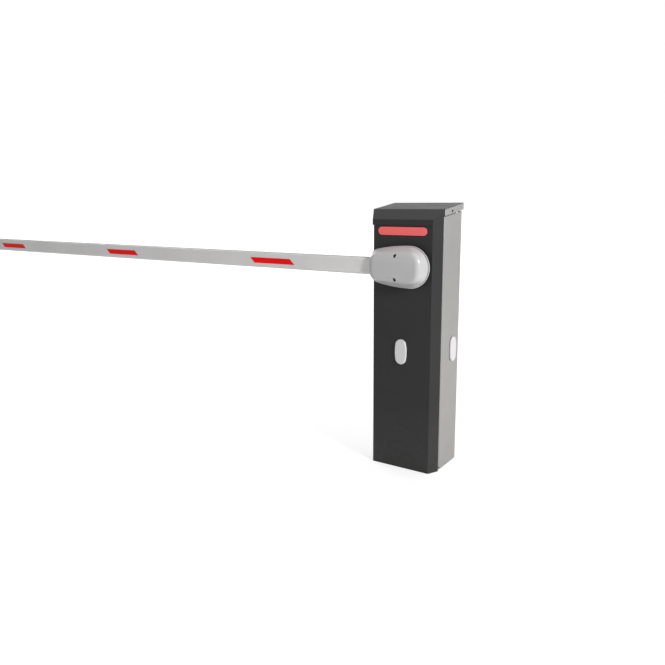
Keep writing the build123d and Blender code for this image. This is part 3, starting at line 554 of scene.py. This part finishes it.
# Door bushes: two black nylon mouldings, each with a tongue that is fixed to the inside of the leaf.
# They carry the door and turn on the hinge pins.
def moulded_plastic(name, colour, roughness, gloss, grain_height=0.00006):
    finish, tree, place = new_finish(name, colour, roughness)
    mottle(tree, place, toned(colour, 0.95), toned(colour, 1.04), scale=9.0)
    shade(tree, {"Specular IOR Level": gloss})
    vary_roughness(tree, place, roughness - 0.025, roughness + 0.03, scale=30.0)
    raise_grain(tree, place, scale=1600.0, height=grain_height, strength=0.5)
    return finish


NYLON_BLACK = (0.02, 0.02, 0.021)
nylon = moulded_plastic("black_nylon", NYLON_BLACK, roughness=0.5, gloss=0.4)
wear_finish("door_bush_lower", nylon)
wear_finish("door_bush_upper", nylon)

# Warning light: a clear red moulded lens across the head of the panel, seated in a thin black gasket.
# Fine upright flutes on its inside spread the light.
LENS_RED = (0.77, 0.112, 0.112)
LENS_DEEP_RED = (0.68, 0.095, 0.095)
LENS_PALE_RED = (0.78, 0.12, 0.12)
LENS_PAINTED_GLOW = (0.9, 0.12, 0.12)
LENS_PAINTED_GLOW_STRENGTH = 0.15
LENS_EDGE = 0.0006
FLUTE_SCALE = 140.0
red_lens, tree, place = new_finish("red_lens", LENS_RED, roughness=0.22)
mottle(tree, place, LENS_DEEP_RED, LENS_PALE_RED, scale=18.0)
shade(tree, {"Coat Weight": 0.4, "Coat Roughness": 0.06})
# Painted glow: a faint red emission brightens the lens as if lit from inside, though no lamp stands behind
# it.
shade(tree, {"Emission Color": (*LENS_PAINTED_GLOW, 1), "Emission Strength": LENS_PAINTED_GLOW_STRENGTH})
flutes = add_node(
    tree,
    "TexWave",
    {"Vector": place, "Scale": FLUTE_SCALE},
    wave_type="BANDS",
    bands_direction="X",
)["Fac"]
raise_surface(tree, flutes, strength=0.08, distance=0.0004)
eased_copy("light_lens", "light_lens_moulding", "cabinet", red_lens, LENS_EDGE)


# Gasket: a thin black rubber lip that seals the lens in its cut-out.
# It is one moulded loop with straight runs and half-round ends.
def loop_band(loops):
    shape = bmesh.new()
    corners = start_loop(shape, loops[0])
    for spots in loops[1:] + loops[:1]:
        corners = grow_loop(shape, corners, spots)
    bmesh.ops.remove_doubles(shape, verts=shape.verts, dist=SAME_SPOT)
    return shape


def lip_profile(proud, width, fit):
    return (
        (0.0, fit),
        (proud, fit),
        (proud, width * LIP_TOP_SHARE),
        (proud * LIP_SHOULDER_SHARE, width),
        (0.0, width),
    )


def stretched_loop(across, up, distance, grow):
    spots = []
    for step in range(STRETCHED_PARTS):
        turn = 2 * math.pi * (step + 0.5) / STRETCHED_PARTS
        run = math.copysign((across - up) / 2, math.cos(turn))
        reach = up / 2 + grow
        spots.append(Vector((run + reach * math.cos(turn), reach * math.sin(turn), distance)))
    return spots


SAME_SPOT = 0.000001
STRETCHED_PARTS = 64
LIP_TOP_SHARE = 0.7
LIP_SHOULDER_SHARE = 0.6
GASKET_WIDTH = 0.0014
GASKET_PROUD = 0.0012
GASKET_FIT = 0.0001
LENS_FLANGE = 0.006
RUBBER_BLACK = (0.018, 0.0175, 0.018)
rubber = moulded_plastic("black_rubber", RUBBER_BLACK, roughness=0.62, gloss=0.2, grain_height=0.0001)
lens_low, lens_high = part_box("light_lens")
panel_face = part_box("front_panel")[0].y
lens_across = lens_high.x - lens_low.x - 2 * LENS_FLANGE
lens_up = lens_high.z - lens_low.z - 2 * LENS_FLANGE
gasket = loop_band([
    stretched_loop(lens_across, lens_up, distance, grow)
    for distance, grow in lip_profile(GASKET_PROUD, GASKET_WIDTH, GASKET_FIT)
])
stand_on(gasket, (0, panel_face, (lens_low.z + lens_high.z) / 2), (0, -1, 0))
make_piece("lens_gasket", gasket, "cabinet", rubber)


# Oval covers: light grey mouldings with softly domed edges, one on the front panel and one on the door.
# Each sits in a thin black seat that follows its foot and shows as a dark line round it: painted shade for
# the shade at the cover's foot.
def foot_line(node, outward):
    shape = bmesh.new()
    shape.from_mesh(frame["nodes"][node].data)
    bmesh.ops.remove_doubles(shape, verts=shape.verts, dist=WELD_DISTANCE)
    low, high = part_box(node)
    middle = (low + high) / 2
    foot = min(corner.co.dot(outward) for corner in shape.verts)
    line = set()
    for wall in shape.faces:
        upright = abs(wall.normal.dot(outward)) < UPRIGHT_SHARE
        if upright and (wall.calc_center_median() - middle).dot(wall.normal) > 0:
            line.update(tuple(end.co) for end in wall.verts if end.co.dot(outward) < foot + WELD_DISTANCE)
    shape.free()
    aside = Vector((0, 0, 1)).cross(outward)
    spots = [Vector(spot) for spot in line]
    spots.sort(key=lambda spot: math.atan2(spot.z - middle.z, (spot - middle).dot(aside)))
    return spots, middle, high - low


def oval_moulding(name, node, body):
    eased_copy(node, name, body, oval_plastic, MOULDED_EDGE, MOULDED_STEPS)


# Painted shade: a thin black ring round the cover's foot stands for the shade there.
def oval_shade_seat(name, node, body, outward):
    line, middle, size = foot_line(node, outward)
    loops = []
    for distance, grow in lip_profile(SHADE_SEAT_PROUD, SHADE_SEAT_WIDTH, -SHADE_SEAT_FIT):
        wider = Vector([0 if outward[axis] else 2 * grow / size[axis] for axis in range(3)])
        loops.append([spot + outward * distance + wider * (spot - middle) for spot in line])
    make_piece(name, loop_band(loops), body, rubber)


COVER_GREY = (0.60, 0.59, 0.59)
MOULDED_EDGE = 0.0012
MOULDED_STEPS = 3
SHADE_SEAT_PROUD = 0.0011
SHADE_SEAT_WIDTH = 0.0009
SHADE_SEAT_FIT = 0.0001
UPRIGHT_SHARE = 0.1
oval_plastic = moulded_plastic("oval_cover_plastic", COVER_GREY, roughness=0.32, gloss=0.5)
oval_moulding("front_oval_moulding", "front_oval_cover", "cabinet")
oval_moulding("door_oval_moulding", "door_oval_cover", "door")
# The two seats below are painted shade round the covers' feet.
oval_shade_seat("front_oval_shade_seat", "front_oval_cover", "cabinet", Vector((0, -1, 0)))
oval_shade_seat("door_oval_shade_seat", "door_oval_cover", "door", Vector((1, 0, 0)))

# Bearing and carrier: a cast aluminium housing on a folded zinc-coated plate inside the cabinet, with
# the boom's steel shaft through it and a collar behind. All of it is seen through the open door.
CAST_GREY = (0.42, 0.42, 0.43)
CAST_DEEP_GREY = (0.36, 0.36, 0.37)
CAST_PALE_GREY = (0.48, 0.48, 0.49)
cast_metal, tree, place = new_finish("cast_aluminium", CAST_GREY, roughness=0.55, metallic=0.85)
mottle(tree, place, CAST_DEEP_GREY, CAST_PALE_GREY, scale=30.0)
raise_grain(tree, place, scale=700.0, height=0.0003, strength=0.7)
wear_finish("shaft_carrier", zinc)
wear_finish("shaft_bearing", cast_metal)
wear_finish("drive_shaft", steel)
wear_finish("shaft_collar", steel)

# Bearing bolts: four M8 bolts of zinc-coated steel that hold the bearing's flange to the carrier plate.
# Their ends, nuts and washers show behind the plate.
BOLT_RING = 0.041
BOLT_RADIUS = 0.004
BOLT_TIP_RADIUS = 0.0034
BOLT_REACH = 0.0115
BOLT_CHAMFER = 0.0007
BOLT_NUT_RADIUS = 0.0075
BOLT_NUT_FACE_RADIUS = 0.0066
BOLT_NUT_HEIGHT = 0.0066
BOLT_NUT_CHAMFER = 0.0006
BOLT_WASHER_RADIUS = 0.008
BOLT_WASHER_HEIGHT = 0.0016
CARRIER_PLATE = 0.005
pivot = Vector(next(joint for joint in frame["joints"] if joint["name"] == "boom_lift")["pos_m"])
plate_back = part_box("shaft_carrier")[0].y + CARRIER_PLATE
bearing_bolts = bmesh.new()
for quarter in range(4):
    turn = math.radians(45 + 90 * quarter)
    nut_on_stud(
        bearing_bolts,
        Vector((pivot.x + BOLT_RING * math.cos(turn), plate_back, pivot.z + BOLT_RING * math.sin(turn))),
        (0, 1, 0),
        washer=(BOLT_WASHER_RADIUS, BOLT_WASHER_HEIGHT),
        nut=(BOLT_NUT_RADIUS, BOLT_NUT_FACE_RADIUS, BOLT_NUT_HEIGHT, BOLT_NUT_CHAMFER),
        stud=(BOLT_RADIUS, BOLT_TIP_RADIUS, 0, BOLT_REACH, BOLT_CHAMFER),
    )
make_piece("bearing_bolts", bearing_bolts, "cabinet", zinc)

# Hub housing: the rear of two grey nylon mouldings that close over the arm's cast holder.
# Its lip runs all round behind the groove where the two part. A steel plate clamps the arm inside.
HUB_GREY = (0.452, 0.447, 0.447)
HOUSING_EDGE = 0.0008
hub_nylon = moulded_plastic("hub_nylon", HUB_GREY, roughness=0.33, gloss=0.55, grain_height=0.00003)
eased_copy("hub_housing", "hub_housing_shell", "boom", hub_nylon, HOUSING_EDGE)
wear_finish("arm_holder", cast_metal)
wear_finish("arm_clamp_plate", zinc)


# Hub cover: the front moulding, a 3 mm shell. Its flanks lean in from an egg-shaped outline to a crowned,
# four-sided face with a softly rounded edge. A window in its nose lets the arm through.
def bowed_side(start, end, bow):
    chord = end - start
    radius = (chord.length_squared / 4 + bow ** 2) / (2 * bow)
    inward = Vector((-chord.y, chord.x)).normalized()
    return (start + end) / 2 + inward * (radius - bow), radius


def corner_between(first, second, radius, near):
    gap = second[0] - first[0]
    reach = first[1] - radius
    along = (gap.length_squared + reach ** 2 - (second[1] - radius) ** 2) / (2 * gap.length)
    aside = math.sqrt(reach ** 2 - along ** 2)
    unit = gap.normalized()
    spots = [first[0] + unit * along + Vector((-unit.y, unit.x)) * aside * side for side in (-1, 1)]
    return min(spots, key=lambda spot: (spot - near).length), radius


def heading(arc, other):
    return math.atan2(other[0].y - arc[0].y, other[0].x - arc[0].x)


def mirrored(point):
    return Vector((point.x, -point.y))


def outline_points(arcs, turns, inset):
    upper = []
    for (centre, radius), start, end, parts in zip(arcs, turns, turns[1:], ARC_PARTS):
        for step in range(parts):
            turn = start + (end - start) * (step + 0.5) / parts
            upper.append(centre + (radius - inset) * Vector((math.cos(turn), math.sin(turn))))
    return upper + [mirrored(point) for point in reversed(upper)]


def crown(rise):
    return HUB_FRONT - CROWN_RADIUS + math.sqrt(CROWN_RADIUS ** 2 - rise ** 2)


def at_distance(line, distance):
    return [(*spot, distance) for spot in line]


def on_crown(line, depth):
    return [(*spot, crown(spot.y) - depth) for spot in line]


def flank_head(foot, face, start, depth):
    line = []
    for low, high in zip(foot, face):
        share = 1.0
        for _ in range(FLANK_ROUNDS):
            rise = crown(low.lerp(high, share).y) - depth
            share = (rise - start) / (HUB_FRONT - depth - start)
        line.append(low.lerp(high, share))
    return on_crown(line, depth)


def before_panel(spots):
    return [Vector((x, panel_face - distance, pivot.z + rise)) for x, rise, distance in spots]


def cover_skin(loops, depth, roundings):
    skin = bmesh.new()
    corners = start_loop(skin, before_panel(loops[0]))
    rims = [loop_edges(skin, corners)]
    for spots in loops[1:]:
        corners = grow_loop(skin, corners, before_panel(spots))
        rims.append(loop_edges(skin, corners))
    skin.faces.new(corners)
    half = len(corners) // 2
    cross = []
    for upper, lower in list(zip(corners[:half], reversed(corners[half:])))[1:-1]:
        cross += bmesh.ops.connect_verts(skin, verts=[upper, lower])["edges"]
    rungs = bmesh.ops.subdivide_edges(skin, edges=cross, cuts=CROWN_PARTS - 1, use_grid_fill=True)
    for part in rungs["geom_inner"]:
        if isinstance(part, bmesh.types.BMVert):
            part.co.y = panel_face + depth - crown(part.co.z - pivot.z)
    for rim, width, steps in roundings:
        round_edges(skin, rims[rim], width, steps, clamp=False)
    return skin


HUB_RADIUS = 0.0825
NOSE_TOP = Vector((-0.118, 0.061))
NOSE_BOW = 0.003
NOSE_CORNER = 0.026
FLANK_BOW = 0.0054
END_SPLIT = math.radians(15)
FACE_RIGHT = Vector((0.103, 0.054))
FACE_LEFT = Vector((-0.103, 0.050))
FACE_CORNER = 0.030
FACE_RIGHT_BOW = 0.004
FACE_TOP_BOW = 0.0004
FACE_LEFT_BOW = 0.002
FACE_ROUNDING = 0.014
FACE_MIDDLE_INSET = 0.026
ARC_PARTS = (8, 14, 22, 12, 10)
CROWN_RADIUS = 0.420
CROWN_PARTS = 10
FLANK_ROUNDS = 5
HUB_PARTING = 0.030
HUB_FRONT = 0.078
HUB_WALL = 0.003
GROOVE_WIDTH = 0.003
GROOVE_INSET = 0.007
RIM_INSET = 0.0045
RIM_ROUNDING = 0.0008
cover_start = HUB_PARTING + GROOVE_WIDTH
# The end arc is split, so that the hub's outline and the face's have five arcs each and their points pair up
end_arc = (Vector((pivot.x, 0)), HUB_RADIUS)
flank = bowed_side(Vector((pivot.x, HUB_RADIUS)), NOSE_TOP, FLANK_BOW)
nose = bowed_side(NOSE_TOP, mirrored(NOSE_TOP), NOSE_BOW)
nose_corner = corner_between(flank, nose, NOSE_CORNER, NOSE_TOP)
hub_arcs = (end_arc, end_arc, flank, nose_corner, nose)
hub_turns = (0, END_SPLIT, math.pi / 2, heading(flank, nose_corner), heading(nose, nose_corner), math.pi)
face_right = bowed_side(mirrored(FACE_RIGHT), FACE_RIGHT, FACE_RIGHT_BOW)
face_top = bowed_side(FACE_RIGHT, FACE_LEFT, FACE_TOP_BOW)
face_left = bowed_side(FACE_LEFT, mirrored(FACE_LEFT), FACE_LEFT_BOW)
right_corner = corner_between(face_right, face_top, FACE_CORNER, FACE_RIGHT)
left_corner = corner_between(face_top, face_left, FACE_CORNER, FACE_LEFT)
face_arcs = (face_right, right_corner, face_top, left_corner, face_left)
face_turns = (
    0,
    heading(face_right, right_corner),
    heading(face_top, right_corner),
    heading(face_top, left_corner),
    heading(face_left, left_corner),
    math.pi,
)
groove_line = outline_points(hub_arcs, hub_turns, GROOVE_INSET)
rim_line = outline_points(hub_arcs, hub_turns, RIM_INSET)
face_line = outline_points(face_arcs, face_turns, 0)
middle_line = outline_points(face_arcs, face_turns, FACE_MIDDLE_INSET)
outside = cover_skin(
    (
        at_distance(groove_line, HUB_PARTING),
        at_distance(groove_line, cover_start),
        at_distance(rim_line, cover_start),
        flank_head(rim_line, face_line, cover_start, 0),
        on_crown(middle_line, 0),
    ),
    depth=0,
    roundings=((3, FACE_ROUNDING, 8), (2, RIM_ROUNDING, 2)),
)
# Inside, a lip follows the groove, and from there the wall is as thick as the shell
lip_line = outline_points(hub_arcs, hub_turns, GROOVE_INSET + HUB_WALL)
lip_top = cover_start + HUB_WALL
lip_share = HUB_WALL / (HUB_FRONT - HUB_WALL - cover_start)
inner_rim_line = outline_points(hub_arcs, hub_turns, RIM_INSET + HUB_WALL)
inner_face_line = outline_points(face_arcs, face_turns, HUB_WALL)
inner_foot_line = [low.lerp(high, lip_share) for low, high in zip(inner_rim_line, inner_face_line)]
inside = cover_skin(
    (
        at_distance(groove_line, HUB_PARTING),
        at_distance(lip_line, HUB_PARTING),
        at_distance(lip_line, lip_top),
        at_distance(inner_foot_line, lip_top),
        flank_head(inner_rim_line, inner_face_line, cover_start, HUB_WALL),
        on_crown(middle_line, HUB_WALL),
    ),
    depth=HUB_WALL,
    roundings=((4, FACE_ROUNDING - HUB_WALL, 6),),
)
cover = bmesh.new()
join_shape(cover, outside)
join_shape(cover, inside)
bmesh.ops.remove_doubles(cover, verts=cover.verts, dist=SAME_SPOT)
ARM_CLEARANCE = 0.001
WINDOW_CORNER = 0.006
WINDOW_OVERRUN = 0.02
COVER_SCREW_X = 0.006
COVER_SCREW_RISE = 0.046
RECESS_RADIUS = 0.0055
RECESS_STRETCH = 0.0025
RECESS_SLANT = math.radians(24)
RECESS_FLOOR = 0.0675
DRILL_REACH = 0.03
arm_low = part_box("arm_bottom_strip")[0]
arm_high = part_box("arm_top_strip")[1]
profile_low, profile_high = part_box("arm_profile")
window_low = Vector((
    NOSE_TOP.x - WINDOW_OVERRUN,
    profile_low.y - ARM_CLEARANCE,
    arm_low.z - ARM_CLEARANCE,
))
window_high = Vector((profile_high.x, profile_high.y + ARM_CLEARANCE, arm_high.z + ARM_CLEARANCE))
cutter = bmesh.new()
bmesh.ops.create_cube(cutter, size=1.0)
bmesh.ops.scale(cutter, vec=window_high - window_low, verts=cutter.verts)
bmesh.ops.translate(cutter, vec=(window_low + window_high) / 2, verts=cutter.verts)
lengthwise = [edge for edge in cutter.edges if edge.verts[0].co.yz == edge.verts[1].co.yz]
round_edges(cutter, lengthwise, WINDOW_CORNER, 6)
screw_spots = [
    Vector((COVER_SCREW_X, panel_face - RECESS_FLOOR, pivot.z + side * COVER_SCREW_RISE))
    for side in (-1, 1)
]
for side, spot in zip((-1, 1), screw_spots):
    drill = ring_stack(((0, RECESS_RADIUS, ROUND), (DRILL_REACH, RECESS_RADIUS, ROUND)))
    for end in (-1, 1):
        half = [corner for corner in drill.verts if corner.co.y * end > RECESS_RADIUS / 100]
        bmesh.ops.translate(drill, verts=half, vec=(0, end * RECESS_STRETCH, 0))
    bmesh.ops.rotate(drill, matrix=Matrix.Rotation(-side * RECESS_SLANT, 3, "Z"), verts=drill.verts)
    stand_on(drill, spot, (0, -1, 0))
    join_shape(cutter, drill)
bmesh.ops.recalc_face_normals(cutter, faces=cutter.faces)
cutter_mesh = bpy.data.meshes.new("cutter")
cutter.to_mesh(cutter_mesh)
cutter.free()
cutter_object = bpy.data.objects.new("cutter", cutter_mesh)
scene.collection.objects.link(cutter_object)
cover_piece = make_piece("hub_cover_shell", cover, "boom", hub_nylon)
cut = cover_piece.modifiers.new("openings", "BOOLEAN")
cut.operation = "DIFFERENCE"
cut.solver = "MANIFOLD"
cut.object = cutter_object
bpy.context.view_layer.update()
carved = bpy.data.meshes.new_from_object(cover_piece.evaluated_get(bpy.context.evaluated_depsgraph_get()))
carved.set_sharp_from_angle(angle=SHARP_ANGLE)
cover_piece.modifiers.clear()
cover_piece.data = carved
evened = cover_piece.modifiers.new("even_normals", "WEIGHTED_NORMAL")
evened.keep_sharp = True
bpy.data.objects.remove(cutter_object)
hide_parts("hub_cover")

# Cover screws: two black socket-head screws that hold the cover to the holder's lugs.
# Their heads sit in the slanted recesses, a few millimetres below the face.
cover_screws = bmesh.new()
for spot in screw_spots:
    socket_screw(cover_screws, spot, (0, -1, 0), radius=0.0052, height=0.0035, socket=0.0026)
make_piece("hub_cover_screws", cover_screws, "boom", black_screw)

# Arm: a white-coated aluminium extrusion with soft light strips in its top and bottom grooves,
# and a moulded cap pushed into its end.
ARM_WHITE = (0.66, 0.652, 0.647)
STRIP_GREY = (0.51, 0.505, 0.50)
CAP_GREY = (0.45, 0.44, 0.44)
SMOOTH_GRAIN = 0.00003
arm_coat = powder_coat("white_arm_coat", ARM_WHITE, ARM_WHITE, 0.42, gloss=0.4, grain_height=SMOOTH_GRAIN)
strip_rubber = moulded_plastic("strip_rubber", STRIP_GREY, 0.65, gloss=0.25, grain_height=SMOOTH_GRAIN)
cap_plastic = moulded_plastic("tip_cap_plastic", CAP_GREY, roughness=0.4, gloss=0.5)
wear_finish("arm_profile", arm_coat)
wear_finish("arm_top_strip", strip_rubber)
wear_finish("arm_bottom_strip", strip_rubber)
eased_copy(
    "arm_tip_cap",
    "arm_tip_moulding",
    "boom",
    cap_plastic,
    MOULDED_EDGE,
    MOULDED_STEPS,
)

# Reflectors: slanted strips of red retroreflective sheeting on both faces of the arm.
# Under the clear film, pale lines part the sheet into small cells, each full of tiny prisms.
REFLEX_RED = (0.9, 0.004, 0.004)
REFLEX_DEEP_RED = (0.86, 0.003, 0.003)
REFLEX_PALE_RED = (0.97, 0.006, 0.006)
CELL_LINE_RED = (0.62, 0.010, 0.010)
CELLS_PER_METRE = 260.0
CELL_LINE = (0.03, 0.09)
CELL_TURN = math.radians(45)
reflex, tree, place = new_finish("red_reflex_sheet", REFLEX_RED, roughness=0.3)
film = mottle(tree, place, REFLEX_DEEP_RED, REFLEX_PALE_RED, scale=20.0)
turned = add_node(tree, "Mapping", {"Vector": place, "Rotation": (0, CELL_TURN, 0)})["Vector"]
cells = add_node(
    tree,
    "TexVoronoi",
    {"Vector": turned, "Scale": CELLS_PER_METRE, "Randomness": 0.0},
    feature="DISTANCE_TO_EDGE",
)["Distance"]
lines = add_node(
    tree,
    "MapRange",
    {"Value": cells, "From Min": CELL_LINE[0], "From Max": CELL_LINE[1]},
)["Result"]
seamed = blend(tree, lines, (*CELL_LINE_RED, 1), film)
shade(tree, {"Base Color": seamed, "Specular IOR Level": 0.12})
raise_surface(tree, lines, strength=0.25, distance=0.0002)
for side in ("front", "back"):
    for number in (1, 2, 3):
        wear_finish(f"reflector_{side}_{number}", reflex)
